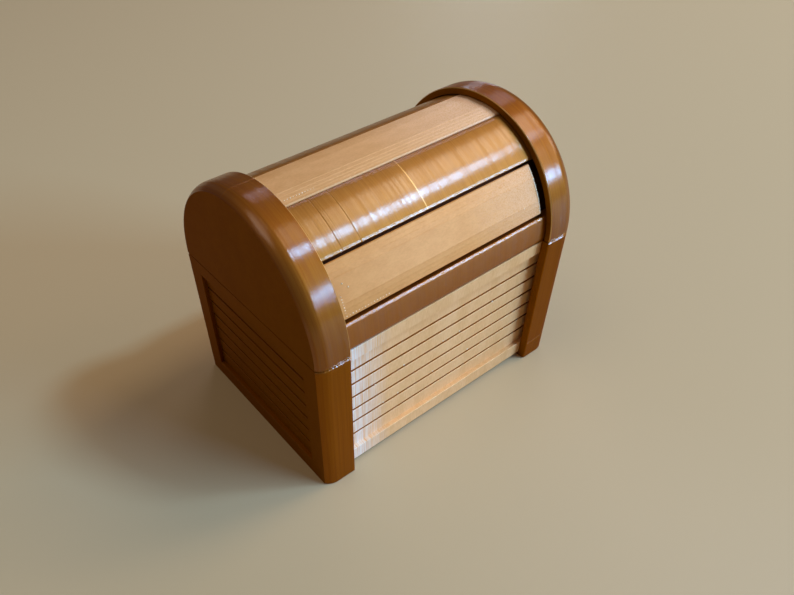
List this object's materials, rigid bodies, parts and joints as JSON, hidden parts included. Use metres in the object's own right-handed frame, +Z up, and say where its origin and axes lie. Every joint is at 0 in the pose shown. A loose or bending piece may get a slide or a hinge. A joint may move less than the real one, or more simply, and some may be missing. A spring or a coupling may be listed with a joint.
{
  "type": "puzzle box",
  "caption": "Small printed treasure-chest puzzle box: an arched hinged lid with sliding slats, one of which works a hidden latch.",
  "frame": {"origin": "on the floor, under the middle of the chest", "axes": "+X along the ridge towards the right end, -Y out of the front, +Z up"},
  "size_m": [0.098, 0.0722, 0.0848],
  "materials": {
    "copper_end": "silky copper-brown print, layers stacked along the length",
    "copper_rib": "silky copper-brown print with fine cross lines",
    "copper_slat": "light copper print, brushed look with fine step lines",
    "copper_panel": "light copper print, flat face up, planked",
    "inner_plastic": "dark copper print"
  },
  "bodies": {
    "chest": {"left_end_wall": "copper_end", "right_end_wall": "copper_end", "front_panel": "copper_panel", "back_panel": "copper_panel", "floor_plate": "copper_panel", "left_catch": "inner_plastic", "right_catch": "inner_plastic", "hinge_pin": "inner_plastic"},
    "lid": {"left_lid_cap": "copper_end", "right_lid_cap": "copper_end", "lid_liner": "inner_plastic", "front_rail": "copper_rib", "front_bar": "copper_rib", "rear_bar": "copper_rib", "rear_rail": "copper_rib"},
    "front_slider": {"front_slat": "copper_slat", "latch_plate": "inner_plastic"},
    "top_slider": {"top_slat": "copper_slat", "top_slat_peg": "inner_plastic"},
    "rear_slider": {"rear_slat": "copper_slat", "rear_slat_peg": "inner_plastic"}
  },
  "joints": [
    {"name": "lid_hinge", "type": "hinge", "parent": "chest", "child": "lid", "pos_m": [0, 0.0352, 0.04965], "axis": [-1, 0, 0], "range_deg": [0, 105]},
    {"name": "front_slat_slide", "type": "slide", "parent": "lid", "child": "front_slider", "axis": [1, 0, 0], "range_m": [-0.0008, 0.004]},
    {"name": "top_slat_slide", "type": "slide", "parent": "lid", "child": "top_slider", "axis": [1, 0, 0], "range_m": [-0.0025, 0.0025]},
    {"name": "rear_slat_slide", "type": "slide", "parent": "lid", "child": "rear_slider", "axis": [1, 0, 0], "range_m": [-0.0025, 0.0025]}
  ]
}
